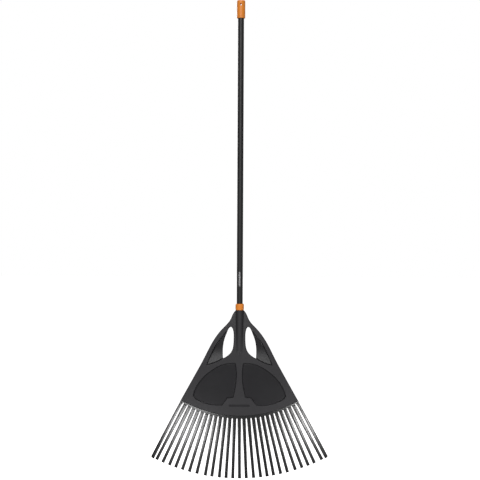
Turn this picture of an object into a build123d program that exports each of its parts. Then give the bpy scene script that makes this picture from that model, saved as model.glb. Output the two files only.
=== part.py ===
from build123d import *
from math import asin, cos, hypot, radians, sin, sqrt, tan
import os

# Leaf rake, in millimetres. +Z runs up the shaft, the domed front of the fan faces -Y, and the tines
# hook back towards +Y. The origin is the centre of the hanging hole in the end cap.

# ---- driving dimensions: shaft -----------------------------------------------------------------
shaft_d = 22.0              # over the plastic sleeve
sleeve_wall = 1.0
tube_wall = 1.2
shaft_top_z = -8.0
shaft_bottom_z = -1238.0
fit_gap = 0.05              # between pieces pushed together

# ---- driving dimensions: end cap ---------------------------------------------------------------
cap_d = 30.5
cap_top_z = 15.5
cap_bottom_z = -49.5
cap_edge_r = 2.5
hanging_hole_d = 8.0
cap_spigot_length = 25.0

# ---- driving dimensions: collar and socket -----------------------------------------------------
collar_d = 31.0
collar_top_z = -1094.5
collar_bottom_z = -1117.5
collar_edge_r = 3.0
collar_lip = 5.0            # ring above the socket's spigot
socket_d = 26.6
spigot_d = 25.6
socket_end_z = -1268.0      # lower end of the round part
socket_tail_z = -1330.0     # where its tapered tail has sunk into the fan
socket_tail_r = 6.0

# ---- driving dimensions: screw and plug --------------------------------------------------------
screw_z = -1206.0
screw_d = 3.5
screw_clearance = 0.25
screw_head_d = 8.0
screw_head_h = 2.6
screw_drive_w = 1.2
screw_drive_depth = 1.4
screw_tip_y = 1.0
boss_d = 13.0
boss_face_y = 15.0
plug_length = 50.0
plug_flange = 3.0

# ---- driving dimensions: the fan's dish --------------------------------------------------------
dish_r = 1100.0             # the front face is part of a sphere
dish_peak_y = -10.0
dish_peak_z = -1300.0
plan_y = -60.0              # the planforms are drawn in front of the fan
plan_reach = 280.0          # and extruded back through it
plate_t = 6.0               # raised frame
lobe_depth = 3.2
web_depth = 3.6
rim_depth = 9.0             # perimeter flange
edge_wall = 3.0
lip_z = -1506.0             # lower edge of the raised frame, on the centre line
lip_r = 441.0
land_bar_z = -1469.0        # plain recessed bar on the land below the lobes
land_bar_w = 80.0
land_bar_h = 10.0
land_bar_depth = 0.8
rib_z = -1400.0             # stiffening ribs on the back
rib_x = 60.0
rib_deg = 38.0
rib_length = 170.0
rib_w = 3.0
rib_root = 1.5
rib_depth = 15.0
over_cut = 5.0              # how far cutters reach past the faces they cut

# ---- driving dimensions: tines -----------------------------------------------------------------
fan_z = -1106.4             # point that the slots and tines radiate from
tine_count = 27
pitch_deg = 2.4
rim_r = 413.0               # end of the moulded rim, from the radiating point
slot_w = 4.0
root_gap = 0.4
root_t = 4.0                # tine thickness at the root
tip_t = 3.0
root_depth = 2.0            # step from the frame's face down to the tines
tip_r = 638.5               # where the hook starts on the middle tine
tip_r_outer = 652.0         # and on the outermost tine
tip_slope = 4.0             # the row of tips stands this much lower at its left end, and higher at its right
tine_bow_r = 1130.0
hook_r = 9.0
hook_deg = 58.0
hook_end = 10.0
tine_reach = 100.0          # more than a tine's depth or sideways lean
edge_lean_deg = 1.8         # the outer tines follow the straight side of the fan
outer_tip_cut = 6.0         # cut-off outer corner of the outermost tines

# Sideways set of single tines at their tips, in degrees about the radiating point: a moulded fan is
# never quite even. Tines are numbered from the left, 1 to 27.
set_deg = {2: -0.15, 3: -0.3, 4: -0.3, 5: -0.45, 6: -0.45, 7: -0.4, 8: -0.2, 9: 0.3, 10: 0.15,
           11: 0.3, 12: 0.2, 13: 0.1, 15: -0.1, 18: -0.15, 19: -0.35, 20: -0.3, 21: -0.35,
           24: -0.15, 25: -0.35}

# ---- derived -----------------------------------------------------------------------------------
shaft_r = shaft_d / 2
tube_r = shaft_r - sleeve_wall - fit_gap
tube_bore_r = tube_r - tube_wall
middle = (tine_count + 1) // 2
dish_centre = Vector(0, dish_peak_y + dish_r, dish_peak_z)
hinge_r = rim_r + root_gap + root_t / 2
tine_depth = root_depth + root_t / 2

os.makedirs("parts", exist_ok=True)


def save(piece, name):
    piece.part.label = name
    export_step(piece.part, f"parts/{name}.step")


# ---- shaft -------------------------------------------------------------------------------------
def screw_rod(radius, front_y):
    """A round rod on the head screw's axis, from a depth to well past the back, to cut holes with."""
    with BuildPart() as rod:
        with BuildSketch(Plane.XZ.offset(-shaft_d)):
            with Locations((0, screw_z)):
                Circle(radius)
        extrude(amount=shaft_d - front_y)
    return rod.part


clearance_rod = screw_rod(screw_d / 2 + screw_clearance, 0)
pilot_rod = screw_rod(screw_d / 2, screw_tip_y)

with BuildPart() as shaft_sleeve:
    with BuildSketch(Plane.XY.offset(shaft_bottom_z)):
        Circle(shaft_r)
        Circle(shaft_r - sleeve_wall, mode=Mode.SUBTRACT)
    extrude(amount=shaft_top_z - shaft_bottom_z)
    add(clearance_rod, mode=Mode.SUBTRACT)
save(shaft_sleeve, "shaft_sleeve")

with BuildPart() as shaft_tube:
    with BuildSketch(Plane.XY.offset(shaft_bottom_z)):
        Circle(tube_r)
        Circle(tube_bore_r, mode=Mode.SUBTRACT)
    extrude(amount=shaft_top_z - shaft_bottom_z)
    add(clearance_rod, mode=Mode.SUBTRACT)
save(shaft_tube, "shaft_tube")

with BuildPart() as shaft_plug:
    with BuildSketch(Plane.XY.offset(shaft_bottom_z)):
        Circle(tube_bore_r - fit_gap)
    extrude(amount=plug_length)
    chamfer(shaft_plug.edges().group_by(Axis.Z)[-1], length=1.5)
    with BuildSketch(Plane.XY.offset(shaft_bottom_z - plug_flange)):
        Circle(tube_r)
    extrude(amount=plug_flange)
    add(pilot_rod, mode=Mode.SUBTRACT)
save(shaft_plug, "shaft_plug")

# ---- end cap -----------------------------------------------------------------------------------
with BuildPart() as end_cap:
    with BuildSketch(Plane.XY.offset(cap_bottom_z)):
        Circle(cap_d / 2)
    extrude(amount=cap_top_z - cap_bottom_z)
    fillet(end_cap.edges().group_by(Axis.Z)[-1], radius=cap_edge_r)
    fillet(end_cap.edges().group_by(Axis.Z)[0], radius=cap_edge_r / 2)
    with BuildSketch(Plane.XY.offset(cap_bottom_z)):
        Circle(shaft_r + fit_gap)
    extrude(amount=shaft_top_z - cap_bottom_z, mode=Mode.SUBTRACT)
    with BuildSketch(Plane.XY.offset(shaft_top_z)):
        Circle(tube_bore_r - fit_gap)
    extrude(amount=-cap_spigot_length)
    with BuildSketch(Plane.XZ):
        Circle(hanging_hole_d / 2)
    extrude(amount=cap_d, both=True, mode=Mode.SUBTRACT)
save(end_cap, "end_cap")

# ---- collar ------------------------------------------------------------------------------------
with BuildPart() as socket_collar:
    with BuildSketch(Plane.XY.offset(collar_bottom_z)):
        Circle(collar_d / 2)
    extrude(amount=collar_top_z - collar_bottom_z)
    fillet(socket_collar.edges().group_by(Axis.Z)[-1], radius=collar_edge_r)
    fillet(socket_collar.edges().group_by(Axis.Z)[0], radius=collar_edge_r)
    with BuildSketch(Plane.XY.offset(collar_bottom_z)):
        Circle(spigot_d / 2 + fit_gap)
    extrude(amount=collar_top_z - collar_lip - collar_bottom_z, mode=Mode.SUBTRACT)
    with BuildSketch(Plane.XY.offset(collar_bottom_z)):
        Circle(shaft_r + fit_gap)
    extrude(amount=collar_top_z - collar_bottom_z, mode=Mode.SUBTRACT)
save(socket_collar, "socket_collar")

# ---- head screw --------------------------------------------------------------------------------
with BuildPart() as head_screw:
    with BuildSketch(Plane.XZ.offset(-boss_face_y)):
        with Locations((0, screw_z)):
            Circle(screw_d / 2)
    extrude(amount=boss_face_y - screw_tip_y)
    with BuildSketch(Plane.XZ.offset(-boss_face_y)):
        with Locations((0, screw_z)):
            Circle(screw_head_d / 2)
    extrude(amount=-screw_head_h)
    fillet(head_screw.edges().group_by(Axis.Y)[-1], radius=1.2)
    with BuildSketch(Plane.XZ.offset(-boss_face_y - screw_head_h)):
        with Locations((0, screw_z)):
            Rectangle(screw_head_d / 2, screw_drive_w)
            Rectangle(screw_drive_w, screw_head_d / 2)
    extrude(amount=screw_drive_depth, mode=Mode.SUBTRACT)
save(head_screw, "head_screw")


# ---- fan head: planforms, drawn in front view for the right half and mirrored ------------------
plan = Plane.XZ.offset(-plan_y)


def half(draw, *sizes):
    """A planform from a function that draws the closed outline of its right half."""
    with BuildSketch(plan) as planform:
        with BuildLine():
            draw(*sizes)
        make_face()
        mirror(about=Plane.YZ)
    return planform.sketch


def draw_outline(inset):
    """Neck, domed shoulder, concave flare and straight side, past the end of the rim."""
    top = collar_bottom_z - 2 * fit_gap - inset
    side_start = (142.4 - inset, -1318.7 - inset / 2)
    side_end = (262.5 - inset, -1535.5 - inset / 2)
    Line((0, top), (13.5 - inset, top))
    Spline((13.5 - inset, top), (24.5 - inset, -1132 - inset / 2), (33.5 - inset, -1152 - inset / 2),
           (63.5 - inset, -1187 - inset), (108.7 - inset, -1252.8 - inset / 2), side_start,
           tangents=((0.7, -0.7), (0.485, -0.875)))
    Polyline(side_start, side_end, (0, side_end[1]), (0, top))


def draw_lobe():
    """Large recess: arched top, rounded lower lobe, and the waisted edge of the centre bar."""
    bar_top = (13.5, -1311)
    bar_foot = (21.5, -1438.5)
    tip = (171.0, -1433)
    low = (80.0, -1468.8)
    Spline(bar_top, (52, -1314), (106, -1341), (152, -1388), tip, tangents=((1, 0.02), (0.2, -1)))
    Spline(tip, (165, -1443), (151.5, -1451.8), (127.5, -1461.5), (102, -1467), low,
           tangents=((-0.35, -1), (-1, -0.04)))
    FilletPolyline(low, (63, -1468.8), (43, -1441), bar_foot, radius=6)
    Spline(bar_foot, (15.6, -1412), (11.2, -1387), (9.2, -1353), bar_top,
           tangents=((-0.24, 1), (0.2, 1)))


def draw_window():
    """Leaf-shaped opening with a round top and a pointed foot."""
    top = (31.5, -1179.6)
    foot = (60.4, -1295)
    Spline(top, (45.2, -1198), (56.8, -1231), (61.2, -1266), foot, tangents=((1, -0.25), (-0.06, -1)))
    Spline(foot, (45, -1286), (28.5, -1268), (22.2, -1242), (21.4, -1215), (24.2, -1190), top,
           tangents=((-0.9, 0.45), (1, 0.35)))


def draw_web():
    """Sloping side panel between the window and the outer frame band."""
    apex = (49.0, -1194)
    corner = (122.0, -1320)
    foot = (60.4, -1295)
    Spline(apex, (79.5, -1232), (105.5, -1280), corner, tangents=((0.55, -0.83), (0.3, -0.95)))
    ThreePointArc(corner, (90, -1311.5), foot)
    Polyline(foot, (50, -1262), (40, -1210), apex)


with BuildSketch(plan) as fan_plan:
    add(half(draw_outline, 0))
    with Locations((0, fan_z)):
        Circle(rim_r, mode=Mode.INTERSECT)
        with PolarLocations(rim_r, tine_count - 1, start_angle=-90 - pitch_deg * (tine_count / 2 - 1),
                            angular_range=pitch_deg * (tine_count - 2), endpoint=True):
            Circle(slot_w / 2, mode=Mode.SUBTRACT)

with BuildSketch(plan) as below_lip_plan:
    with Locations((0, lip_z)):
        Rectangle(lip_r, lip_r / 2)
    with Locations((0, lip_z + lip_r)):
        Circle(lip_r, mode=Mode.SUBTRACT)

with BuildSketch(plan) as bar_plan:
    with Locations((0, land_bar_z)):
        SlotOverall(land_bar_w, land_bar_h)

with BuildSketch(plan) as rib_plan:
    with Locations((0, rib_z)):
        Rectangle(rib_w, rib_length)
    with Locations((rib_x, rib_z)):
        Rectangle(rib_w, rib_length, rotation=rib_deg)
    with Locations((-rib_x, rib_z)):
        Rectangle(rib_w, rib_length, rotation=-rib_deg)


def layer(planform, front, back):
    """What lies under a planform between two depths below the dish's front face."""
    with BuildPart() as between:
        extrude(planform, amount=plan_reach, dir=(0, 1, 0))
        with Locations(dish_centre):
            Sphere(dish_r - front, mode=Mode.INTERSECT)
            Sphere(dish_r - back, mode=Mode.SUBTRACT)
    return between.part


# ---- fan head ----------------------------------------------------------------------------------
plate = layer(fan_plan.sketch, 0, rim_depth)
back_pocket = layer(half(draw_outline, edge_wall), plate_t, rim_depth + over_cut)
tine_step = layer(below_lip_plan.sketch, -over_cut, root_depth)
lobe_recess = layer(half(draw_lobe), -over_cut, lobe_depth)
web_recess = layer(half(draw_web), -over_cut, web_depth)
window_cut = layer(half(draw_window), -over_cut, rim_depth + over_cut)
bar_recess = layer(bar_plan.sketch, -over_cut, land_bar_depth)
back_ribs = layer(rib_plan.sketch, plate_t - rib_root, rib_depth)

with BuildPart() as fan_head:
    add(plate)
    add(back_pocket, mode=Mode.SUBTRACT)
    add(tine_step, mode=Mode.SUBTRACT)
    add(lobe_recess, mode=Mode.SUBTRACT)
    add(web_recess, mode=Mode.SUBTRACT)
    add(bar_recess, mode=Mode.SUBTRACT)
    add(back_ribs)
    with BuildSketch(Plane.XY.offset(socket_end_z)):
        Circle(socket_d / 2)
    extrude(amount=collar_bottom_z - socket_end_z - 2 * fit_gap)
    with BuildSketch(Plane.XY.offset(collar_bottom_z - 2 * fit_gap)):
        Circle(spigot_d / 2)
    extrude(amount=collar_top_z - collar_lip - collar_bottom_z)
    with BuildSketch(Plane.XY.offset(socket_end_z)):
        Circle(socket_d / 2)
    with BuildSketch(Plane.XY.offset(socket_tail_z)):
        Circle(socket_tail_r)
    loft()
    with BuildSketch(Plane.XZ.offset(-boss_face_y)):
        with Locations((0, screw_z)):
            Circle(boss_d / 2)
    extrude(amount=boss_face_y)
    with BuildSketch(Plane.XY.offset(shaft_bottom_z - plug_flange - fit_gap)):
        Circle(shaft_r + fit_gap)
    extrude(amount=collar_top_z - shaft_bottom_z, mode=Mode.SUBTRACT)
    add(clearance_rod, mode=Mode.SUBTRACT)
    add(window_cut, mode=Mode.SUBTRACT)
save(fan_head, "fan_head")


# ---- tines -------------------------------------------------------------------------------------
def on_dish(x, z, depth):
    """The point of the dish at a depth below its front face, seen in front view at x, z."""
    reach = dish_r - depth
    return Vector(x, dish_centre.Y - sqrt(reach**2 - x**2 - (z - dish_peak_z) ** 2), z)


def tine_frame(number):
    """Root point, direction along the tine, and the direction to its back."""
    angle = radians(pitch_deg * (number - middle))
    root = on_dish(hinge_r * sin(angle), fan_z - hinge_r * cos(angle), tine_depth)
    back = (dish_centre - root).normalized()
    radial = Vector(sin(angle), 0, -cos(angle))
    along = (radial - back * radial.dot(back)).normalized()
    return root, along, back


def tine_length(number, along):
    """True length from the root to the start of the hook."""
    share = (number - middle) / (middle - 1)
    in_view = tip_r + (tip_r_outer - tip_r) * share**2 - tip_slope * share - hinge_r
    drop = hypot(along.X, along.Z)
    slope = asin(sqrt(1 - drop**2))
    mean_slope = slope + in_view / tine_bow_r / 2
    return in_view / cos(mean_slope)


def outward(number):
    """Which way along the width leads away from the middle tine."""
    return 1 if number > middle else -1


def tine_lean(number, length):
    """Sideways slope of a tine, from its set at the tip or from the fan's straight side."""
    if number in (1, tine_count):
        return -outward(number) * tan(radians(edge_lean_deg))
    return (hinge_r + length) * radians(set_deg.get(number, 0)) / length


def draw_side(length):
    """Side view of a tine: x along it, y to its back. It bows back and ends in a hook."""
    bow = length / tine_bow_r
    turn = radians(hook_deg)

    def shank(share, across):
        a = bow * share
        half_t = (root_t + (tip_t - root_t) * share) / 2
        reach = tine_bow_r - across * half_t
        return (reach * sin(a), tine_bow_r - reach * cos(a))

    centre = (shank(1, 0)[0] - hook_r * sin(bow), shank(1, 0)[1] + hook_r * cos(bow))

    def hook(share, across):
        a = bow + turn * share
        reach = hook_r - across * tip_t / 2
        return (centre[0] + reach * sin(a), centre[1] - reach * cos(a))

    def end(across):
        start = hook(1, across)
        a = bow + turn
        return (start[0] + hook_end * cos(a), start[1] + hook_end * sin(a))

    ThreePointArc(shank(0, -1), shank(0.5, -1), shank(1, -1))
    ThreePointArc(hook(0, -1), hook(0.5, -1), hook(1, -1))
    Line(hook(1, -1), end(-1))
    Line(end(-1), end(1))
    Line(end(1), hook(1, 1))
    ThreePointArc(hook(1, 1), hook(0.5, 1), hook(0, 1))
    ThreePointArc(shank(1, 1), shank(0.5, 1), shank(0, 1))
    ThreePointArc(shank(0, 1), (-root_t / 2, 0), shank(0, -1))


def tine_outline(number, length):
    """Front view of a tine: broad at the root, narrowest near the tip, and a flared foot."""
    foot = length + hook_r + hook_end
    outer = number in (1, tine_count)
    if outer:
        stations = ((-root_t, 9.6), (0.5 * length, 12.0), (0.9 * length, 13.5), (foot, 14.0))
    else:
        stations = ((-root_t, 13.2), (2, 13.2), (0.11 * length, 13.6), (0.34 * length, 12.2),
                    (0.55 * length, 11.5), (0.9 * length, 11.2), (length + 2, 12.0),
                    (length + hook_r, 13.0), (foot, 13.0))
    lean = tine_lean(number, length)
    side = outward(number)
    inner_edge = [(along, lean * along - side * width / 2) for along, width in stations]
    outer_edge = [(along, lean * along + side * width / 2) for along, width in reversed(stations)]
    if outer:
        width = stations[-1][1]
        corner = [(length + hook_r, lean * length + side * (width / 2 - outer_tip_cut)),
                  (length, lean * length + side * width / 2)]
        outer_edge[0:1] = corner
    return inner_edge + outer_edge


def make_tine(number):
    root, along, back = tine_frame(number)
    length = tine_length(number, along)
    across = along.cross(back)
    with BuildPart() as tine:
        with BuildSketch(Plane(origin=root, x_dir=along, z_dir=across)):
            with BuildLine():
                draw_side(length)
            make_face()
        extrude(amount=tine_reach, both=True)
        with BuildSketch(Plane(origin=root, x_dir=along, z_dir=along.cross(across))):
            with BuildLine():
                Polyline(*tine_outline(number, length), close=True)
            make_face()
        extrude(amount=tine_reach, both=True, mode=Mode.INTERSECT)
    print(f"tine {number:2d}: hinge at {root.X:.3f} {root.Y:.3f} {root.Z:.3f}  "
          f"axis {-across.X:.6f} {-across.Y:.6f} {-across.Z:.6f}  length {length:.2f}")
    return tine


for number in range(1, tine_count + 1):
    save(make_tine(number), f"tine_{number:02d}")
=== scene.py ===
import bpy
import bmesh
import math
import numpy as np
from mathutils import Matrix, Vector
from mathutils.geometry import delaunay_2d_cdt
from mathutils.kdtree import KDTree


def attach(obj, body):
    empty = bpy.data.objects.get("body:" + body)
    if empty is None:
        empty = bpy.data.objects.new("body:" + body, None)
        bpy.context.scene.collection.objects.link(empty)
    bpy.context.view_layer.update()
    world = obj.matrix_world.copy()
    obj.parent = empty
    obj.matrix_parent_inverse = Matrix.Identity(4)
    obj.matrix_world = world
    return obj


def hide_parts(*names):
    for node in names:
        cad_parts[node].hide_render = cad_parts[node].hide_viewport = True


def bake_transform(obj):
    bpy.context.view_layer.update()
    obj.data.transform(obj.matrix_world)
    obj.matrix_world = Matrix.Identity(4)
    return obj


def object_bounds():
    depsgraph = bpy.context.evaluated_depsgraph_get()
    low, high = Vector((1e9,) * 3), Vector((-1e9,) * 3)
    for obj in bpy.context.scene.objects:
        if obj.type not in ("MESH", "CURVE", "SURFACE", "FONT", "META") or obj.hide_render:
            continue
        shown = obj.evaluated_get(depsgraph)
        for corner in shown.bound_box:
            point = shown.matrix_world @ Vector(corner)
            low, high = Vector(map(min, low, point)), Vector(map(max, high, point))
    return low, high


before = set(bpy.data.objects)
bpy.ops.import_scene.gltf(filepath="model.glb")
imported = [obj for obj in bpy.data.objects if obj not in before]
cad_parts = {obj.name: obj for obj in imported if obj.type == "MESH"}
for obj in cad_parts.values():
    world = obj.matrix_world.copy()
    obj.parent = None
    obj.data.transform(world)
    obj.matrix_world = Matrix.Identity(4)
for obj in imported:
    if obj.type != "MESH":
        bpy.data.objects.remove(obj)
cad_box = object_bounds()

# Shapes are worked out in millimetres, in the frame of the CAD, and written to the meshes in metres.
MM = 0.001
BODY = "handle_and_head"
QUARTER = math.pi / 2

# ---- the dish that the whole fan follows -------------------------------------------------------
DISH_R = 1100.0
DISH_Y = 1090.0            # the dish's centre is at x = 0
DISH_Z = -1300.0
FAN_Z = -1106.4            # the slots and tines radiate from here
RIM_R = 413.0
SLOT_R = 2.0
PITCH = math.radians(2.4)
TINES = 27
MIDDLE = (TINES + 1) // 2
PLATE_T = 6.0
STRIP_DEPTH = 2.0          # step from the raised frame down to the tines
STRIP_STEP = 2.2           # width of that step
EDGE_R = 1.2               # rounding of the tines and slots
BACK_EDGE_R = 0.8


# ---- curves and distances ----------------------------------------------------------------------
def smooth(t):
    t = np.clip(t, 0.0, 1.0)
    return t * t * (3 - 2 * t)


def round_over(d, r):
    """How far an edge rounded to radius r has dropped, at distance d from it."""
    return r - np.sqrt(np.maximum(r * r - np.clip(r - d, 0, r) ** 2, 0))


def curve(points, start, end, step=1.8):
    """A cubic spline through a few points, with given end directions."""
    p = np.array(points, float)
    h = np.linalg.norm(np.diff(p, axis=0), axis=1)
    n = len(p)
    a = np.eye(n)
    b = np.zeros((n, 2))
    b[0] = np.array(start) / np.linalg.norm(start)
    b[-1] = np.array(end) / np.linalg.norm(end)
    for i in range(1, n - 1):
        a[i, i - 1:i + 2] = h[i], 2 * (h[i - 1] + h[i]), h[i - 1]
        b[i] = 3 * (h[i] * (p[i] - p[i - 1]) / h[i - 1] + h[i - 1] * (p[i + 1] - p[i]) / h[i])
    m = np.linalg.solve(a, b)
    run = [p[:1]]
    for i in range(n - 1):
        k = max(2, round(h[i] / step))
        t = (np.arange(1, k + 1) / k)[:, None]
        run.append((2 * t**3 - 3 * t**2 + 1) * p[i] + (t**3 - 2 * t**2 + t) * h[i] * m[i]
                   + (3 * t**2 - 2 * t**3) * p[i + 1] + (t**3 - t**2) * h[i] * m[i + 1])
    return np.vstack(run)


def line(a, b, step=1.8):
    a, b = np.array(a, float), np.array(b, float)
    k = max(1, round(np.linalg.norm(b - a) / step))
    return a + (b - a) * np.linspace(0, 1, k + 1)[:, None]


def arc(centre, r, start, end, step=1.8):
    """An arc between two angles in radians, anticlockwise where end is the larger."""
    k = max(4, round(abs(end - start) * r / step))
    t = np.linspace(start, end, k + 1)
    return np.column_stack([centre[0] + r * np.cos(t), centre[1] + r * np.sin(t)])


def arc_through(a, b, c):
    """The short arc from a through b to c."""
    (ax, ay), (bx, by), (cx, cy) = a, b, c
    d = 2 * (ax * (by - cy) + bx * (cy - ay) + cx * (ay - by))
    x = ((ax**2 + ay**2) * (by - cy) + (bx**2 + by**2) * (cy - ay) + (cx**2 + cy**2) * (ay - by)) / d
    y = ((ax**2 + ay**2) * (cx - bx) + (bx**2 + by**2) * (ax - cx) + (cx**2 + cy**2) * (bx - ax)) / d
    start = math.atan2(ay - y, ax - x)
    turn = (math.atan2(cy - y, cx - x) - start + math.pi) % (2 * math.pi) - math.pi
    return arc((x, y), math.hypot(ax - x, ay - y), start, start + turn)


def rounded(corners, r):
    """Straight lines with their corners rounded to radius r."""
    p = [np.array(c, float) for c in corners]
    runs, at = [], p[0]
    for before, here, after in zip(p, p[1:], p[2:]):
        u = (before - here) / np.linalg.norm(before - here)
        v = (after - here) / np.linalg.norm(after - here)
        half = math.acos(float(u @ v)) / 2
        cut = r / math.tan(half)
        middle = here + (u + v) / np.linalg.norm(u + v) * (r / math.sin(half) - r)
        runs += [line(at, here + u * cut), arc_through(here + u * cut, middle, here + v * cut)]
        at = here + v * cut
    return join(*runs, line(at, p[-1]))


def join(*runs):
    """Runs end to end, without repeating the points that they share."""
    whole = [runs[0]]
    for run in runs[1:]:
        shared = np.linalg.norm(run[0] - whole[-1][-1]) < 1e-6
        whole.append(run[1:] if shared else run)
    return np.vstack(whole)


def distance(points, *runs):
    """Distance from each point to the nearest of some open runs."""
    a = np.vstack([run[:-1] for run in runs])
    ab = np.vstack([run[1:] for run in runs]) - a
    length2 = np.maximum((ab**2).sum(1), 1e-12)
    out = np.empty(len(points))
    for i in range(0, len(points), 3000):
        aq = points[i:i + 3000, None, :] - a
        t = np.clip((aq * ab).sum(2) / length2, 0, 1)
        out[i:i + 3000] = np.sqrt(((aq - t[..., None] * ab) ** 2).sum(2).min(1))
    return out


def inside(points, ring):
    x, y = points[:, 0], points[:, 1]
    odd = np.zeros(len(points), bool)
    for (x0, y0), (x1, y1) in zip(ring, np.roll(ring, -1, axis=0)):
        if y0 != y1:
            odd ^= ((y0 > y) != (y1 > y)) & (x < (x1 - x0) * (y - y0) / (y1 - y0) + x0)
    return odd


def depth_in(points, ring, *runs):
    """Distance to some runs, or else to the whole ring: positive inside the ring, negative outside it."""
    d = distance(points, *(runs or [np.vstack([ring, ring[:1]])]))
    return np.where(inside(points, ring), d, -d)


def beside(run, offset, closed=False):
    """A run moved sideways, to its left where offset is positive. Points that fold over are dropped."""
    if closed:
        run = np.vstack([run, run[:1]])
    way = np.diff(run, axis=0)
    way /= np.linalg.norm(way, axis=1)[:, None]
    before = np.vstack([way[-1:] if closed else way[:1], way])
    after = np.vstack([way, way[:1] if closed else way[-1:]])
    mean = before + after
    mean /= np.linalg.norm(mean, axis=1)[:, None]
    left = np.column_stack([-mean[:, 1], mean[:, 0]])
    stretch = 1 / np.maximum((mean * after).sum(1), 0.4)
    moved = run + left * (offset * stretch)[:, None]
    return moved[distance(moved, run) > abs(offset) * 0.97]


# ---- outlines of the fan's right half, in front view (x, z) ------------------------------------
NECK_Z = -1117.6
SIDE_START = (142.4, -1318.7)
SIDE_WAY = np.array([120.1, -216.8])         # direction of the straight side
SIDE_WAY /= np.linalg.norm(SIDE_WAY)
LIP_C = np.array([0.0, -1065.0])
LIP_R = 441.0
HUB = np.array([0.0, FAN_Z])


def on_circle(start, way, centre, r):
    """Where a ray leaves a circle."""
    m = (start - centre) @ way
    return start + way * (-m + math.sqrt(m * m - (start - centre) @ (start - centre) + r * r))


side = join(curve([(13.5, NECK_Z), (24.5, -1132), (33.5, -1152), (63.5, -1187), (108.7, -1252.8), SIDE_START],
                  (0.7, -0.7), (0.485, -0.875)),
            line(SIDE_START, on_circle(np.array(SIDE_START), SIDE_WAY, HUB, RIM_R)))
BAR_TOP = (13.5, -1311)
BAR_FOOT = (21.5, -1438.5)
LOBE_TIP = (171, -1433)
LOBE_LOW = (80, -1468.8)
lobe = join(curve([BAR_TOP, (52, -1314), (106, -1341), (152, -1388), LOBE_TIP], (1, 0.02), (0.2, -1)),
            curve([LOBE_TIP, (165, -1443), (151.5, -1451.8), (127.5, -1461.5), (102, -1467), LOBE_LOW],
                  (-0.35, -1), (-1, -0.04)),
            rounded([LOBE_LOW, (63, -1468.8), (43, -1441), BAR_FOOT], 6),
            curve([BAR_FOOT, (15.6, -1412), (11.2, -1387), (9.2, -1353), BAR_TOP],
                  (-0.24, 1), (0.2, 1)))[:-1]
WINDOW_TOP = (31.5, -1179.6)
WINDOW_FOOT = (60.4, -1295)
window = join(curve([WINDOW_TOP, (45.2, -1198), (56.8, -1231), (61.2, -1266), WINDOW_FOOT],
                    (1, -0.25), (-0.06, -1)),
              curve([WINDOW_FOOT, (45, -1286), (28.5, -1268), (22.2, -1242), (21.4, -1215), (24.2, -1190),
                     WINDOW_TOP], (-0.9, 0.45), (1, 0.35)))[:-1]
WEB_TOP = (49, -1194)
WEB_CORNER = (122, -1320)
web_edge = join(curve([WEB_TOP, (79.5, -1232), (105.5, -1280), WEB_CORNER], (0.55, -0.83), (0.3, -0.95)),
                arc_through(WEB_CORNER, (90, -1311.5), WINDOW_FOOT))
web = join(web_edge, line(WINDOW_FOOT, (50, -1262)), line((50, -1262), (40, -1210)),
           line((40, -1210), WEB_TOP))[:-1]
BAR_Z = -1469.0
BAR_HALF = 35.0
BAR_R = 5.0
BAR_DEPTH = 0.8
BAR_STEP = 1.4
bar_line = np.array([[-BAR_HALF, BAR_Z], [BAR_HALF, BAR_Z]])

RIB_W = 3.0
RIB_Z = -1400.0
RIB_HALF = 85.0
RIB_WAY = np.array([math.sin(math.radians(38)), -math.cos(math.radians(38))])
rib_lines = [np.array([[0, RIB_Z + RIB_HALF], [0, RIB_Z - RIB_HALF]]),
             np.array([[60, RIB_Z] - RIB_WAY * RIB_HALF, [60, RIB_Z] + RIB_WAY * RIB_HALF])]

TUBE_R = 13.3
TUBE_END_Z = -1268.0
TAIL_Z = -1330.0
TAIL_R = 6.0
TUBE_SIDE_SLOPE = 5.6
TUBE_FRONT_BLEND = 5.0      # fillets between the tube and the plate
TUBE_BACK_BLEND = 2.0
RIDGE_SINK = 9.0            # how far the tube's tail has sunk into the plate at its end
RIDGE_SINK_START = 6.0
RIDGE_SINK_LENGTH = 56.0
BOSS_Z = -1206.0
BOSS_R = 6.5
BOSS_Y = 15.0
BOSS_H = 9.0


def slot_top(number):
    """Half-round end of the slot to the right of a tine, from its right side to its left."""
    a = PITCH * (number - MIDDLE + 0.5)
    t = np.linspace(0, math.pi, 11)[:, None]
    across = np.array([math.cos(a), math.sin(a)])
    out = np.array([math.sin(a), -math.cos(a)])
    return HUB + out * RIM_R + SLOT_R * (np.cos(t) * across - np.sin(t) * out)


slots = [slot_top(number) for number in range(MIDDLE, TINES)]


def half_outline():
    """Down the middle of the fan's right half, from the neck round to the middle tine."""
    runs = [line((0, NECK_Z), (13.5, NECK_Z)), side]
    at = side[-1]
    for slot in reversed(slots):
        runs += [line(at, slot[0]), slot]
        at = slot[-1]
    foot = (0, FAN_Z - RIM_R)
    above_bar = (0, BAR_Z + 14)
    runs += [line(at, foot), line(foot, above_bar, 0.6), line(above_bar, (0, NECK_Z))]
    return join(*runs)[:-1]


outline = half_outline()


# ---- how deep the fan's faces lie below the dish, for points of the right half -----------------
LOBE_DEPTH = 3.2
LOBE_STEP = 1.6
WEB_DEPTH = 14.0
WEB_END_DEPTH = 1.6         # depth of the webs' scoops at their two ends
WEB_SKIN = 2.6
GROOVE = 1.3                # fine groove that runs round the recesses, inside their edges
GROOVE_AT = 2.0
GROOVE_W = 0.8
SIDE_EDGE_R = 2.2
WINDOW_EDGE_R = 3.0
WEB_WINDOW_EDGE_R = 1.0     # where a window cuts through a web
FLANGE_DEPTH = 9.0
FLANGE_W = 3.0
RIB_DEPTH = 15.0
RIB_FADE = 22.0             # length over which a rib rises at each end
BACK_STEP = 0.9             # width of the steps on the back, which start this much short of their edge
BACK_LEAD = 0.5


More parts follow.
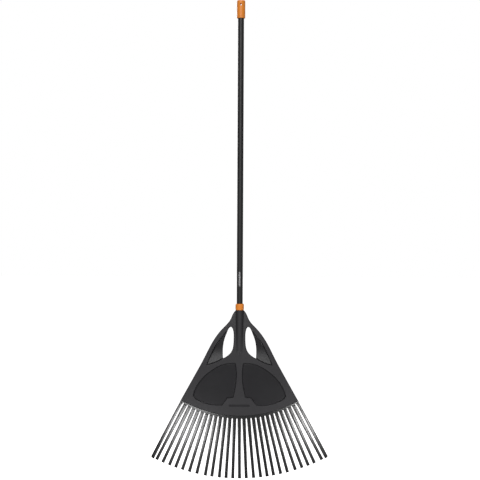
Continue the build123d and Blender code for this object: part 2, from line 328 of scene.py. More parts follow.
def front_depth(p):
    d_side = distance(p, side)
    d_slot = distance(p, *slots)
    below_lip = np.hypot(*(p - LIP_C).T) - LIP_R
    depth = STRIP_DEPTH * smooth((below_lip + 0.4) / STRIP_STEP)
    in_lobe = depth_in(p, lobe)
    depth += LOBE_DEPTH * smooth((in_lobe + 0.2) / LOBE_STEP)
    above_low = p[:, 1] - LOBE_LOW[1]
    depth += groove(in_lobe) * (0.35 + 0.65 * smooth((above_low - 8) / 16))
    depth += web_depth(p)
    depth += BAR_DEPTH * smooth((BAR_R - distance(p, bar_line)) / BAR_STEP)
    d_window = distance(p, np.vstack([window, window[:1]]))
    depth += round_over(d_window, np.where(inside(p, web), WEB_WINDOW_EDGE_R, WINDOW_EDGE_R))
    at_strip = smooth(below_lip / 3)
    depth += round_over(d_side, SIDE_EDGE_R + (EDGE_R - SIDE_EDGE_R) * at_strip)
    return depth + round_over(d_slot, EDGE_R)


def groove(d):
    return GROOVE * np.exp(-((d - GROOVE_AT) / GROOVE_W) ** 2)


def web_depth(p):
    """A scoop that drops away below the frame band and rises again to its foot."""
    d = depth_in(p, web, web_edge)
    t = np.clip((WEB_TOP[1] - p[:, 1]) / (WEB_TOP[1] - WEB_CORNER[1]), 0, 1)
    bulge = np.sin(math.pi * t)
    scoop = WEB_END_DEPTH + (WEB_DEPTH - WEB_END_DEPTH) * bulge
    return (scoop * smooth((d + 0.2) / (1.4 + 0.26 * scoop)) + groove(d) * (1 - bulge)) * inside(p, web)


def back_depth(p, front):
    d_side = distance(p, side)
    beyond_flange = smooth((d_side - FLANGE_W + BACK_LEAD) / BACK_STEP)
    depth = PLATE_T + (FLANGE_DEPTH - PLATE_T) * (1 - beyond_flange)
    depth = np.maximum(depth, front + WEB_SKIN)
    for start, end in rib_lines:
        way = (end - start) / np.linalg.norm(end - start)
        across = np.abs((p - start) @ np.array([-way[1], way[0]]))
        along = (p - start) @ way
        from_end = np.minimum(along, 2 * RIB_HALF - along)
        height = (RIB_DEPTH - PLATE_T) * smooth(from_end / RIB_FADE)
        beyond_rib = smooth((across - RIB_W / 2 + BACK_LEAD) / BACK_STEP)
        depth = np.maximum(depth, PLATE_T + height * (1 - beyond_rib))
    depth -= round_over(d_side, BACK_EDGE_R) + round_over(distance(p, *slots), BACK_EDGE_R)
    return depth - round_over(distance(p, np.vstack([window, window[:1]])), BACK_EDGE_R)


def on_dish(p, depth):
    reach = DISH_R - depth
    return DISH_Y - np.sqrt(reach**2 - p[:, 0] ** 2 - (p[:, 1] - DISH_Z) ** 2)


def tube_face(p):
    """How far a tube with a tapered tail stands out from the shaft's axis. Its sides run on, steeply."""
    r = np.interp(-p[:, 1], [-TUBE_END_Z, -TAIL_Z], [TUBE_R, TAIL_R])
    x = np.abs(p[:, 0])
    near = np.minimum(x, 0.985 * r)
    edge = np.sqrt(r**2 - near**2)
    return edge - (x - near) * TUBE_SIDE_SLOPE


def blend_max(a, b, k):
    """The larger of two heights, with a fillet where they meet."""
    h = np.clip(0.5 + 0.5 * (a - b) / k, 0, 1)
    return b + (a - b) * h + k * h * (1 - h)


def fan_faces(p):
    """Y of the front and back faces of the fan."""
    front = front_depth(p)
    sink = RIDGE_SINK * smooth((TUBE_END_Z + RIDGE_SINK_START - p[:, 1]) / RIDGE_SINK_LENGTH)
    near_tube = (p[:, 1] > TAIL_Z - 40) & (p[:, 0] < 40)
    y_front = on_dish(p, front)
    y_back = on_dish(p, back_depth(p, front))
    tube = tube_face(p) - sink
    y_front = np.where(near_tube, -blend_max(-y_front, tube, TUBE_FRONT_BLEND), y_front)
    y_back = np.where(near_tube, blend_max(y_back, tube, TUBE_BACK_BLEND), y_back)
    from_boss = BOSS_R - np.hypot(p[:, 0], p[:, 1] - BOSS_Z)
    y_back = blend_max(y_back, BOSS_Y - BOSS_H * (1 - smooth((from_boss + 0.7) / 1.2)) - 0.3, 0.5)
    return y_front, y_back


# ---- mesh helpers ------------------------------------------------------------------------------
def shown(name, points, faces, angle=38.0):
    """A piece from points in millimetres, smooth apart from edges sharper than an angle."""
    mesh = bpy.data.meshes.new(name)
    mesh.from_pydata((np.asarray(points) * MM).tolist(), [], faces)
    tidy = bmesh.new()
    tidy.from_mesh(mesh)
    bmesh.ops.recalc_face_normals(tidy, faces=tidy.faces)
    tidy.to_mesh(mesh)
    tidy.free()
    mesh.polygons.foreach_set("use_smooth", [True] * len(mesh.polygons))
    mesh.set_sharp_from_angle(angle=math.radians(angle))
    piece = bpy.data.objects.new(name, mesh)
    bpy.context.scene.collection.objects.link(piece)
    return piece


def lathe(name, profile, turns=96, angle=38.0):
    """A closed profile of (radius, z) turned about the shaft's axis. Points at radius 0 close it."""
    points, rings = [], []
    for r, z in profile:
        if r == 0:
            rings.append([len(points)] * turns)
            points.append((0, 0, z))
        else:
            rings.append(list(range(len(points), len(points) + turns)))
            points += [(r * math.cos(2 * math.pi * k / turns), r * math.sin(2 * math.pi * k / turns), z)
                       for k in range(turns)]
    pairs = list(zip(rings, rings[1:]))
    if profile[0][0] and profile[-1][0]:
        pairs.append((rings[-1], rings[0]))
    faces = []
    for low, high in pairs:
        for k in range(turns):
            corners = [low[k], low[(k + 1) % turns], high[(k + 1) % turns], high[k]]
            face = list(dict.fromkeys(corners))
            if len(face) > 2:
                faces.append(face)
    return shown(name, points, faces, angle)


def corner_run(a, corner, b, r, steps=6):
    """Profile points that round the corner between two straight runs."""
    a, corner, b = (np.array(q, float) for q in (a, corner, b))
    u = (a - corner) / np.linalg.norm(a - corner)
    v = (b - corner) / np.linalg.norm(b - corner)
    half = math.acos(float(u @ v)) / 2
    cut = r / math.tan(half)
    centre = corner + (u + v) / np.linalg.norm(u + v) * r / math.sin(half)
    start, end = corner + u * cut - centre, corner + v * cut - centre
    mixes = [start * (1 - k / steps) + end * (k / steps) for k in range(steps + 1)]
    return [tuple(centre + mix / np.linalg.norm(mix) * r) for mix in mixes]


def modified(piece, modifiers):
    """Applies modifiers, given as (kind, settings), and removes them."""
    for kind, settings in modifiers:
        modifier = piece.modifiers.new(kind.lower(), kind)
        for key, value in settings.items():
            setattr(modifier, key, value)
    graph = bpy.context.evaluated_depsgraph_get()
    mesh = bpy.data.meshes.new_from_object(piece.evaluated_get(graph))
    piece.modifiers.clear()
    piece.data = mesh
    return piece


# ---- fan head ----------------------------------------------------------------------------------
GRID = 2.6                  # spacing of the mesh points between the rows along the edges
GRID_GAP = 1.25             # free distance round a row's points
LONGEST_EDGE = 3.5
EDGE_CLEAR = 0.12
LIP_ARC = 0.44
SIDE_ROWS = (0.3, 0.8, 1.5, 2.2, 2.9, 3.5)
SLOT_ROWS = (0.3, 0.8, 1.3)
LOBE_ROWS = (-0.3, 0.4, 0.9, 1.4, 2.0, 2.6, 3.2)
WINDOW_ROWS = (0.3, 0.9, 1.8, 3.0)
WEB_ROWS = (-0.3, 0.4, 0.9, 1.4, 2.0, 2.6, 3.2, 3.9, 4.8, 6.4, 8.6)
LIP_ROWS = (-0.5, 0, 0.6, 1.2, 1.9)
BAR_ROWS = (-0.3, 0, 0.35, 0.7, 1.05, 1.4, 1.7)
BAR_STEP_LENGTH = 0.8
TUBE_ROWS = (2.5, 5.0, 7.5, 9.6, 11.2, 12.3, 13.0, 13.4, 13.9, 14.6, 15.6)
BOSS_ROWS = (-1, -0.4, 0.2, 0.8)
RIB_ROWS = (0.6, 1.0, 1.5, 2.0)


def guide_rows():
    """Runs of mesh points along every edge of the right half, as (run, closed). The outline comes first."""
    rows = [(outline, True), (window, True)]
    rows += [(beside(side, -d), False) for d in SIDE_ROWS]
    rows += [(beside(slot, -d), False) for slot in slots for d in SLOT_ROWS]
    rows += [(beside(lobe, -d, True), False) for d in LOBE_ROWS]
    rows += [(beside(window, s * d, True), False) for d in WINDOW_ROWS for s in (-1, 1)]
    rows += [(beside(web_edge, -d), False) for d in WEB_ROWS]
    rows += [(arc(LIP_C, LIP_R + d, -QUARTER, -QUARTER + LIP_ARC), False) for d in LIP_ROWS]
    rows += [(arc((BAR_HALF, BAR_Z), BAR_R - d, -QUARTER, QUARTER, BAR_STEP_LENGTH), False) for d in BAR_ROWS]
    for d in BAR_ROWS:
        for s in (-1, 1):
            z = BAR_Z + s * (BAR_R - d)
            rows.append((line((0.3, z), (BAR_HALF, z), BAR_STEP_LENGTH), False))
    for x in TUBE_ROWS:
        tail_x = x / TUBE_R * TAIL_R
        tube_end = (x, TUBE_END_Z)
        rows.append((join(line((x, NECK_Z), tube_end), line(tube_end, (tail_x, TAIL_Z))), False))
    rows += [(arc((0, BOSS_Z), BOSS_R + d, -QUARTER, QUARTER, 0.9), False) for d in BOSS_ROWS]
    rows += [(beside(line(start, end), s * d), False)
             for start, end in rib_lines for d in RIB_ROWS for s in (-1, 1)]
    return rows


def flat_mesh():
    """Points (x, z) and triangles of the fan's right half in front view."""
    taken, points, edges = KDTree(60000), [], []
    for run, closed in guide_rows():
        run = run[run[:, 0] > -1e-9]
        if run is not outline and len(points):
            if not closed:
                run = run[inside(run, outline) & ~inside(run, window)]
            if not closed and len(run):
                run = run[distance(run, np.vstack([outline, outline[:1]])) > EDGE_CLEAR]
        first = len(points)
        points += [tuple(q) for q in run]
        gaps = np.linalg.norm(np.diff(run, axis=0), axis=1) if len(run) > 1 else []
        edges += [(first + i, first + i + 1) for i, gap in enumerate(gaps) if gap < LONGEST_EDGE]
        if closed:
            edges.append((first + len(run) - 1, first))
    for i, (x, z) in enumerate(points):
        taken.insert((x, z, 0), i)
    taken.balance()
    row_height = GRID * math.sqrt(3) / 2
    x_max, z_low = side[-1][0], FAN_Z - RIM_R
    for j in range(int((NECK_Z - z_low) / row_height)):
        z = NECK_Z - (j + 0.5) * row_height
        for i in range(int(x_max / GRID) + 1):
            x = (i + 0.5 * (j % 2)) * GRID
            if taken.find((x, z, 0))[2] > GRID_GAP:
                points.append((x, z))

    flat, _, faces = delaunay_2d_cdt([Vector(q) for q in points], edges, [], 0, 1e-5, False)[:3]
    p, faces = np.array([(v.x, v.y) for v in flat]), np.array(faces)
    middle = p[faces].mean(axis=1)
    faces = faces[inside(middle, outline) & ~inside(middle, window)]
    p[:, 0] = np.where(np.abs(p[:, 0]) < 1e-4, 0, p[:, 0])
    used = np.unique(faces)
    renumber = np.full(len(p), -1)
    renumber[used] = np.arange(len(used))
    return p[used], renumber[faces]


def make_fan_head():
    p, faces = flat_mesh()
    y_front, y_back = fan_faces(p)

    # Right half front, right half back, then both mirrored, sharing the points on the centre line.
    n = len(p)
    on_middle = p[:, 0] == 0
    twins = int((~on_middle).sum())
    twin = np.arange(n)
    twin[~on_middle] = 2 * n + np.arange(twins)
    back_twin = np.where(on_middle, n + np.arange(n), twin + twins)
    corners = np.vstack([np.column_stack([p[:, 0], y_front, p[:, 1]]),
                         np.column_stack([p[:, 0], y_back, p[:, 1]]),
                         np.column_stack([-p[:, 0], y_front, p[:, 1]])[~on_middle],
                         np.column_stack([-p[:, 0], y_back, p[:, 1]])[~on_middle]])
    ring_edges = {(a, b): True for face in faces.tolist() for a, b in zip(face, face[1:] + face[:1])}
    rim = [(a, b) for a, b in ring_edges if (b, a) not in ring_edges
           and not (on_middle[a] and on_middle[b])]
    all_faces = [list(map(int, f)) for f in faces]
    all_faces += [[int(v) + n for v in f[::-1]] for f in faces]
    all_faces += [[int(twin[v]) for v in f[::-1]] for f in faces]
    all_faces += [[int(back_twin[v]) for v in f] for f in faces]
    for a, b in rim:
        all_faces.append([a, a + n, b + n, b])
        all_faces.append([int(twin[b]), int(back_twin[b]), int(back_twin[a]), int(twin[a])])
    head = shown("fan_moulding", corners, all_faces, 50)

    # Material slots: 0 frame, 1 pans, 2 strip below the lip, 3 webs, whose darker colour is painted shade.
    # The back is frame and strip.
    centre = p[faces].mean(axis=1)
    pan = (depth_in(centre, lobe) > 1.9) | (distance(centre, bar_line) < BAR_R - 1)
    strip = np.hypot(*(centre - LIP_C).T) - LIP_R > 1.2
    in_web = inside(centre, web) & (distance(centre, web_edge) > 1.0)
    m = len(faces)
    slot = np.zeros(len(all_faces), int)
    slot[:m] = slot[2 * m:3 * m] = np.where(strip, 2, np.where(pan, 1, np.where(in_web, 3, 0)))
    slot[m:2 * m] = slot[3 * m:4 * m] = np.where(strip, 2, 0)
    head.data.polygons.foreach_set("material_index", slot)
    return head


# ---- tines -------------------------------------------------------------------------------------
HINGE_R = 415.4
ROOT_T = 4.0
TIP_T = 3.0
TIP_R = 638.5
TIP_R_OUTER = 652.0
TIP_SLOPE = 4.0            # the row of tips stands lower at its left end
BOW_R = 1130.0
HOOK_R = 9.0
HOOK_TURN = math.radians(58)
HOOK_END = 10.0
EDGE_LEAN = math.tan(math.radians(1.8))
TIP_CUT = 6.0
CROWN = 0.45               # how far a tine's front rises in its middle, and its back is hollowed
HOLLOW = 0.7
ROOT_FADE = 30.0           # length over which both start
OUTER_HALF = 4.8           # half the width of an outer tine at its root
OUTER_FADE = 14.0
SET_DEG = {2: -0.15, 3: -0.3, 4: -0.3, 5: -0.45, 6: -0.45, 7: -0.4, 8: -0.2, 9: 0.3, 10: 0.15,
           11: 0.3, 12: 0.2, 13: 0.1, 15: -0.1, 18: -0.15, 19: -0.35, 20: -0.3, 21: -0.35,
           24: -0.15, 25: -0.35}
ROOT_HALF = RIM_R * math.sin(PITCH / 2) - SLOT_R      # half the width where a tine leaves the rim
BUTT = RIM_R * math.cos(PITCH / 2) - HINGE_R          # where that is along the tine


def tine_axes(number):
    """Root, direction along the tine, across it to the right, and to its back."""
    a = PITCH * (number - MIDDLE)
    depth = STRIP_DEPTH + ROOT_T / 2
    x, z = HINGE_R * math.sin(a), FAN_Z - HINGE_R * math.cos(a)
    root = np.array([x, on_dish(np.array([[x, z]]), depth)[0], z])
    back = np.array([0, DISH_Y, DISH_Z]) - root
    back /= np.linalg.norm(back)
    radial = np.array([math.sin(a), 0, -math.cos(a)])
    along = radial - back * (radial @ back)
    along /= np.linalg.norm(along)
    return root, along, np.cross(along, back), back


def tine_length(number, along):
    share = (number - MIDDLE) / (MIDDLE - 1)
    in_view = TIP_R + (TIP_R_OUTER - TIP_R) * share**2 - TIP_SLOPE * share - HINGE_R
    slope = math.asin(abs(along[1]))
    return in_view / math.cos(slope + in_view / BOW_R / 2)


def centre_line(length):
    """Stations (x along, y to the back, angle, half thickness) from the butt to the end of the foot."""
    out = []
    for s in [BUTT] + list(np.linspace(BUTT + 3, length, 40)):
        a = s / BOW_R
        half = (ROOT_T + (TIP_T - ROOT_T) * max(s, 0) / length) / 2
        out.append((BOW_R * math.sin(a), BOW_R * (1 - math.cos(a)), a, half))
    bow = length / BOW_R
    x, y = out[-1][:2]
    centre = x - HOOK_R * math.sin(bow), y + HOOK_R * math.cos(bow)
    for k in range(1, 9):
        a = bow + HOOK_TURN * k / 8
        out.append((centre[0] + HOOK_R * math.sin(a), centre[1] - HOOK_R * math.cos(a), a, TIP_T / 2))
    x, y, a = out[-1][:3]
    for s in (3, 6, 8.4, 9.4, HOOK_END):
        out.append((x + s * math.cos(a), y + s * math.sin(a), a, TIP_T / 2))
    return out


def make_tine(number):
    root, along, across, back = tine_axes(number)
    length = tine_length(number, along)
    outer = number in (1, TINES)
    out_side = 1 if number > MIDDLE else -1
    lean = -out_side * EDGE_LEAN if outer else \
        (HINGE_R + length) * math.radians(SET_DEG.get(number, 0)) / length
    foot = length + HOOK_R + HOOK_END
    if outer:
        marks = ((-4, OUTER_HALF), (0.5 * length, 6.0), (0.9 * length, 6.75), (foot, 7.0))
        outer_marks = marks[:-1] + ((length, 6.9), (length + HOOK_R, 7.0 - TIP_CUT), (foot, -3.5))
    else:
        marks = ((-4, ROOT_HALF), (2, ROOT_HALF), (0.11 * length, 6.9), (0.34 * length, 6.2),
                 (0.55 * length, 5.8), (0.9 * length, 5.7), (length + 2, 6.1),
                 (length + HOOK_R, 6.5), (foot, 6.5))
        outer_marks = marks
    edges = np.array([0.0, 0.12, 0.4, 0.8, EDGE_R])
    points, rings = [], []
    stations = centre_line(length)
    for i, (x, y, a, half_t) in enumerate(stations):
        inner = np.interp(x, *zip(*marks))
        outside = np.interp(x, *zip(*outer_marks))
        if outer:
            # the outer tooth runs from the last slot to the corner of the fan
            at_root = 1 - smooth((x - BUTT) / OUTER_FADE)
            inner += at_root * (ROOT_HALF - OUTER_HALF)
            outside += at_root * 0.05
        left, right = (inner, outside) if out_side > 0 else (outside, inner)
        us = np.concatenate([-left + edges, np.linspace(-left + EDGE_R, right - EDGE_R, 7)[1:-1],
                             right - edges[::-1]])
        d = np.minimum(us + left, right - us)
        middle = (right - left) / 2
        width = (right + left) / 2
        grow = float(smooth((x - BUTT) / ROOT_FADE))
        crown = CROWN * grow * ((us - middle) / width) ** 2
        front = -half_t + round_over(d, EDGE_R) * min(1, half_t / 1.6) + crown
        hollow = HOLLOW * grow * smooth((np.abs(us - middle) - 1.4) / 1.3) * (half_t - 1)
        rear = half_t - round_over(d, BACK_EDGE_R) - hollow
        u = np.concatenate([us, us[::-1]])
        v = np.concatenate([front, rear[::-1]])
        if i == len(stations) - 1:
            u, v = middle + (u - middle) * (1 - 0.8 / width), v * 0.5
        ring = [root + along * (x - q * math.sin(a)) + back * (y + q * math.cos(a)) + across * (lean * x + w)
                for w, q in zip(u, v)]
        rings.append(list(range(len(points), len(points) + len(ring))))
        points += ring
    # a smaller ring at the butt end reaches into the rim
    butt = [points[k] for k in rings[0]]
    heart = np.mean(butt, axis=0)
    plug = [heart + (q - heart) * 0.85 - along * 1.2 for q in butt]
    rings.insert(0, list(range(len(points), len(points) + len(plug))))
    points += plug
    faces = []
    m = len(rings[0])
    for low, high in zip(rings, rings[1:]):
        faces += [[low[k], low[(k + 1) % m], high[(k + 1) % m], high[k]] for k in range(m)]
    faces += [rings[0][::-1], rings[-1]]
    name = f"tine_{number:02d}"
    blade = shown(f"{name}_moulding", points, faces, 60)
    start = Vector(root * MM)
    tip = root + along * stations[-1][0] + back * stations[-1][1] + across * (lean * stations[-1][0])
    return blade, name, start, Vector(tip * MM)


# ---- handle pieces -----------------------------------------------------------------------------
SHAFT_R = 11.0
CAP_R = 15.25
CAP_TOP = 15.5
CAP_LOW = -49.5
SLEEVE_TOP = -8.0
SLEEVE_LOW = -1238.0
FIT = 0.05
HOLE_R = 4.0
CAP_SPIGOT_R = 8.7
CAP_SPIGOT_LOW = -33.0
CAP_GROOVE = 0.45          # depth of the fine groove near the cap's lower edge
SLEEVE_WALL = 1.0
COLLAR_R = 15.5
COLLAR_TOP = -1094.5
COLLAR_LOW = -1117.5
SPIGOT_R = 12.8
SPIGOT_TOP = -1099.5


def make_cap():
    bore = SHAFT_R + FIT
    profile = [(0, CAP_SPIGOT_LOW), (CAP_SPIGOT_R - 1, CAP_SPIGOT_LOW), (CAP_SPIGOT_R, CAP_SPIGOT_LOW + 1),
               (CAP_SPIGOT_R, SLEEVE_TOP), (bore, SLEEVE_TOP), (bore, CAP_LOW + 0.5), (bore + 0.5, CAP_LOW)]
    profile += corner_run((bore + 0.5, CAP_LOW), (CAP_R, CAP_LOW), (CAP_R, CAP_TOP), 1.25)
    profile += [(CAP_R - drop, CAP_LOW + up) for drop, up in
                ((0, 4.6), (0.1, 4.9), (CAP_GROOVE, 5.3), (CAP_GROOVE, 5.9), (0.1, 6.3), (0, 6.6))]
    profile += [(CAP_R, z) for z in np.linspace(CAP_LOW + 10, CAP_TOP - 6, 12)]
    profile += corner_run((CAP_R, CAP_LOW), (CAP_R - 0.15, CAP_TOP), (0, CAP_TOP), 2.5, 8)
    profile += [(8, CAP_TOP), (4, CAP_TOP), (0, CAP_TOP)]
    cap = lathe("hanging_cap", profile, 128, 30)
    cutter = rod_along_y("cap_hole_cutter", HOLE_R, -30, 30, 0)
    modified(cap, [("BOOLEAN", {"operation": "DIFFERENCE", "object": cutter, "solver": "EXACT"}),
                   ("BEVEL", {"width": 0.9 * MM, "segments": 3, "limit_method": "ANGLE",
                              "angle_limit": math.radians(55)})])
    bpy.data.objects.remove(cutter)
    cap.data.set_sharp_from_angle(angle=math.radians(30))
    return cap


def rod_along_y(name, r, y0, y1, z, sides=48):
    angles = [2 * math.pi * k / sides for k in range(sides)]
    ring = [(r * math.cos(a), r * math.sin(a)) for a in angles]
    points = [(x, y0, z + q) for x, q in ring] + [(x, y1, z + q) for x, q in ring]
    faces = [[k, (k + 1) % sides, sides + (k + 1) % sides, sides + k] for k in range(sides)]
    faces += [list(range(sides))[::-1], list(range(sides, 2 * sides))]
    return shown(name, points, faces)


def make_collar():
    bore, low_bore = SHAFT_R + FIT, SPIGOT_R + FIT
    profile = [(bore + 0.4, COLLAR_TOP), (bore, COLLAR_TOP - 0.4), (bore, SPIGOT_TOP), (low_bore, SPIGOT_TOP),
               (low_bore, COLLAR_LOW + 0.3), (low_bore + 0.3, COLLAR_LOW)]
    profile += [(COLLAR_R - drop, COLLAR_LOW + up)
                for drop, up in ((1.9, 0), (1.3, 0.25), (0.85, 0.9), (0.5, 1.9), (0.3, 3.1), (0.2, 4.4))]
    middle = (COLLAR_TOP + COLLAR_LOW) / 2
    profile += [(COLLAR_R - 0.2 * ((z - middle) / 9) ** 2, z) for z in np.linspace(-1112, -1098, 8)]
    profile += corner_run((COLLAR_R, -1106), (COLLAR_R - 0.2, COLLAR_TOP), (bore, COLLAR_TOP), 3.0, 8)
    return lathe("ferrule_ring", profile, 128, 35)


def make_sleeve():
    inner = SHAFT_R - SLEEVE_WALL
    profile = [(inner, SLEEVE_TOP), (inner, SLEEVE_LOW), (SHAFT_R - 0.3, SLEEVE_LOW),
               (SHAFT_R, SLEEVE_LOW + 0.3)]
    profile += [(SHAFT_R, z) for z in np.linspace(SLEEVE_LOW + 10, SLEEVE_TOP - 10, 90)]
    profile += [(SHAFT_R, SLEEVE_TOP - 0.3), (SHAFT_R - 0.3, SLEEVE_TOP)]
    return lathe("shaft_skin", profile, 96)


# ---- materials ---------------------------------------------------------------------------------
def add_node(tree, kind, values=None, **settings):
    node = tree.nodes.new(kind)
    for key, value in settings.items():
        setattr(node, key, value)
    for key, value in (values or {}).items():
        if isinstance(value, bpy.types.NodeSocket):
            tree.links.new(value, node.inputs[key])
        else:
            node.inputs[key].default_value = value
    return node


def new_material(name):
    material = bpy.data.materials.new(name)
    material.use_nodes = True
    tree = material.node_tree
    shader = tree.nodes["Principled BSDF"]
    place = add_node(tree, "ShaderNodeTexCoord").outputs["Object"]
    return material, tree, shader, place


def noise(tree, place, size_mm, detail=2.0, roughness=0.5):
    return add_node(tree, "ShaderNodeTexNoise", {"Vector": place, "Scale": 1000 / size_mm, "Detail": detail,
                                                 "Roughness": roughness}).outputs["Fac"]


def ranged(tree, value, low, high, from_low=0.3, from_high=0.7):
    return add_node(tree, "ShaderNodeMapRange", {"Value": value, "From Min": from_low, "From Max": from_high,
                                                 "To Min": low, "To Max": high}).outputs["Result"]


def mixed(tree, factor, a, b):
    node = add_node(tree, "ShaderNodeMix", data_type="RGBA")
    for socket, value in ((node.inputs["Factor"], factor), (node.inputs[6], a), (node.inputs[7], b)):
        if isinstance(value, bpy.types.NodeSocket):
            tree.links.new(value, socket)
        else:
            socket.default_value = value
    return node.outputs[2]


def plastic(name, dark, light, rough, grain_mm, grain_height_mm, specular=0.5):
    """Moulded plastic: slow colour drift, a fine grain, and roughness that varies with handling."""
    material, tree, shader, place = new_material(name)
    drift = ranged(tree, noise(tree, place, 60, 4), 0, 1)
    scuff = ranged(tree, noise(tree, place, 7, 6, 0.65), 0, 1, 0.35, 0.75)
    tree.links.new(mixed(tree, drift, (*dark, 1), (*light, 1)), shader.inputs["Base Color"])
    tree.links.new(ranged(tree, scuff, rough[0], rough[1], 0, 1), shader.inputs["Roughness"])
    grain = noise(tree, place, grain_mm, 2)
    bump = add_node(tree, "ShaderNodeBump", {"Height": grain, "Strength": 0.7,
                                             "Distance": grain_height_mm * MM})
    tree.links.new(bump.outputs["Normal"], shader.inputs["Normal"])
    shader.inputs["Specular IOR Level"].default_value = specular
    return material


PRINT_Z = -1004.0          # middle of the stack of bars printed on the sleeve
PRINT_LENGTH = 52.0
PRINT_HALF = 3.0
PRINT_X = -0.7
PRINT_PITCH = 6.5
PRINT_SHARE = 0.8
PRINT_GREY = (0.40, 0.40, 0.41)


def printed_sleeve(name):
    """Black satin skin with a plain stack of pale grey bars printed on its front, above the collar."""
    material = plastic(name, (0.014, 0.014, 0.0142), (0.017, 0.017, 0.0172), (0.44, 0.54), 0.5, 0.02, 0.5)
    tree = material.node_tree
    shader = tree.nodes["Principled BSDF"]
    place = add_node(tree, "ShaderNodeTexCoord").outputs["Object"]
    axes = add_node(tree, "ShaderNodeSeparateXYZ", {"Vector": place}).outputs

    def maths(operation, a, b):
        return add_node(tree, "ShaderNodeMath", {0: a, 1: b}, operation=operation).outputs["Value"]

    def within(value, middle, half):
        return maths("LESS_THAN", maths("ABSOLUTE", maths("SUBTRACT", value, middle), 0.0), half)

    print_area = maths("MULTIPLY", within(axes["X"], PRINT_X * MM, PRINT_HALF * MM),
                       within(axes["Z"], PRINT_Z * MM, PRINT_LENGTH / 2 * MM))
    print_area = maths("MULTIPLY", print_area, maths("LESS_THAN", axes["Y"], 0.0))
    step = maths("FRACT", maths("DIVIDE", axes["Z"], PRINT_PITCH * MM), 0.0)
    worn = ranged(tree, noise(tree, place, 1.5, 3), 0.85, 1.0)
    ink = maths("MULTIPLY", maths("MULTIPLY", print_area, maths("LESS_THAN", step, PRINT_SHARE)), worn)
    skin = shader.inputs["Base Color"].links[0].from_socket
    tree.links.new(mixed(tree, ink, skin, (*PRINT_GREY, 1)), shader.inputs["Base Color"])
    return material


def metal(name, colour, rough):
    material, tree, shader, place = new_material(name)
    streaks = add_node(tree, "ShaderNodeMapping", {"Vector": place, "Scale": (1, 1, 0.05)}).outputs["Vector"]
    lines = noise(tree, streaks, 0.6, 3)
    tree.links.new(ranged(tree, lines, rough[0], rough[1]), shader.inputs["Roughness"])
    darker = tuple(c * 0.8 for c in colour)
    tree.links.new(mixed(tree, ranged(tree, lines, 0, 1), (*colour, 1), (*darker, 1)),
                   shader.inputs["Base Color"])
    shader.inputs["Metallic"].default_value = 1
    return material


# name, darker and lighter colour, least and most roughness, grain size and height in mm, specular level
head_plastic = plastic("black_grained", (0.0195, 0.0182, 0.0210), (0.0245, 0.0231, 0.0264), (0.50, 0.62),
                       0.7, 0.05)
# The webs have a glossier finish than the frame. Their darker base colour is painted shade for the deep
# recessed scoops.
web_plastic_painted_shade = plastic("black_web_painted_shade", (0.0105, 0.0100, 0.0118), (0.0135, 0.0129, 0.0148), (0.36, 0.44),
                      0.7, 0.02, 0.42)
pan_plastic = plastic("black_pan", (0.0205, 0.0199, 0.0219), (0.0243, 0.0236, 0.0260), (0.42, 0.52),
                      0.7, 0.03, 0.18)
tine_plastic = plastic("black_smooth", (0.010, 0.010, 0.0105), (0.014, 0.014, 0.0145), (0.25, 0.33),
                       1.2, 0.012, 0.8)
sleeve_plastic = printed_sleeve("black_sleeve_skin")
orange_plastic = plastic("orange_moulded", (0.85, 0.262, 0.028), (0.91, 0.292, 0.034), (0.38, 0.5), 0.8, 0.03)
grey_plastic = plastic("grey_moulded", (0.26, 0.26, 0.27), (0.32, 0.32, 0.33), (0.4, 0.55), 0.8, 0.03)
aluminium = metal("drawn_aluminium", (0.78, 0.79, 0.80), (0.25, 0.4))
steel = metal("zinc_steel", (0.58, 0.58, 0.60), (0.28, 0.42))


def give(piece, *materials):
    for material in materials:
        piece.data.materials.append(material)


# ---- the object --------------------------------------------------------------------------------
for make, node_name, *materials in (
        (make_fan_head, "fan_head", head_plastic, pan_plastic, tine_plastic, web_plastic_painted_shade),
        (make_cap, "end_cap", orange_plastic),
        (make_collar, "socket_collar", orange_plastic),
        (make_sleeve, "shaft_sleeve", sleeve_plastic)):
    piece = make()
    give(piece, *materials)
    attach(piece, BODY)
    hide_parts(node_name)

for node_name, material in (("shaft_tube", aluminium), ("shaft_plug", grey_plastic), ("head_screw", steel)):
    for node_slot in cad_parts[node_name].material_slots:
        node_slot.material = material

for number in range(1, TINES + 1):
    blade, node_name, start, tip = make_tine(number)
    give(blade, tine_plastic)
    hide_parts(node_name)
    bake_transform(blade)

# ---- camera ------------------------------------------------------------------------------------
SENSOR = 36.0
ROLL = math.radians(-0.27)
VIEW_W = 1.757              # width of the view at the shaft, in metres
DISTANCE = 5.0
VIEW_Z = -0.8612
VIEW_SIDE = 0.13            # the rake is seen very slightly from its right
camera = bpy.data.objects.new("camera", bpy.data.cameras.new("camera"))
camera.data.sensor_width = SENSOR
camera.data.lens = SENSOR * DISTANCE / VIEW_W
camera.location = (VIEW_SIDE, -DISTANCE, VIEW_Z)
camera.rotation_euler = (QUARTER, ROLL, math.atan(VIEW_SIDE / DISTANCE))
bpy.context.scene.collection.objects.link(camera)
bpy.context.scene.camera = camera
bpy.context.scene.view_settings.view_transform = "Standard"


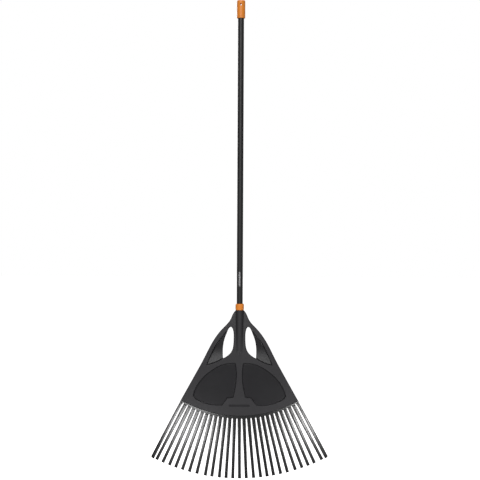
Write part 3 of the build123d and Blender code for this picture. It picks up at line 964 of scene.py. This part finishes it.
# ---- studio ------------------------------------------------------------------------------------
def soft_light(name, place, target, width, height, power):
    light = bpy.data.objects.new(name, bpy.data.lights.new(name, "AREA"))
    light.data.shape = "RECTANGLE"
    light.data.size, light.data.size_y = width, height
    light.data.energy = power
    light.location = place
    light.rotation_euler = (Vector(target) - Vector(place)).to_track_quat("-Z", "Y").to_euler()
    light.visible_camera = False
    bpy.context.scene.collection.objects.link(light)


soft_light("key_light", (-0.3, -4.2, 1.0), (0, 0, -0.7), 3.2, 2.2, 110)
soft_light("left_low_light", (-1.06, -1.72, -2.82), (-0.2, 0, -1.5), 0.65, 0.65, 17)
soft_light("right_low_light", (1.34, -1.72, -2.72), (0.22, 0, -1.5), 0.35, 0.55, 17)
soft_light("top_light", (0, 0.4, 2.4), (0, 0, -1.0), 2.5, 2.5, 40)
soft_light("back_light", (-1.4, 3.8, 0.6), (0, 0, -1.1), 2.6, 2.6, 90)

WORLD_LIGHT = 0.14          # strength of the world as a light; the camera sees it at full white
world = bpy.data.worlds.new("studio")
bpy.context.scene.world = world
world.use_nodes = True
wt = world.node_tree
seen = add_node(wt, "ShaderNodeLightPath").outputs["Is Camera Ray"]
wt.links.new(ranged(wt, seen, WORLD_LIGHT, 1.0, 0, 1), wt.nodes["Background"].inputs["Strength"])
wt.nodes["Background"].inputs["Color"].default_value = (1, 1, 1, 1)

FLOOR_Z = cad_box[0][2] - 0.35
FLOOR_HALF = 40.0
FLOOR_GLOW = 0.95
floor_mesh = bpy.data.meshes.new("floor")
floor_mesh.from_pydata([(x * FLOOR_HALF, y * FLOOR_HALF, FLOOR_Z)
                        for x, y in ((-1, -1), (1, -1), (1, 1), (-1, 1))], [], [(0, 1, 2, 3)])
floor = bpy.data.objects.new("floor", floor_mesh)
bpy.context.scene.collection.objects.link(floor)
floor_paint, tree, shader, place = new_material("pale_floor")
tree.links.new(mixed(tree, noise(tree, place, 300), (0.84, 0.84, 0.84, 1), (0.88, 0.88, 0.88, 1)),
               shader.inputs["Base Color"])
shader.inputs["Emission Color"].default_value = (1, 1, 1, 1)
shader.inputs["Emission Strength"].default_value = FLOOR_GLOW
shader.inputs["Roughness"].default_value = 0.9
give(floor, floor_paint)
floor.visible_glossy = False
floor.visible_diffuse = False
floor.visible_shadow = False
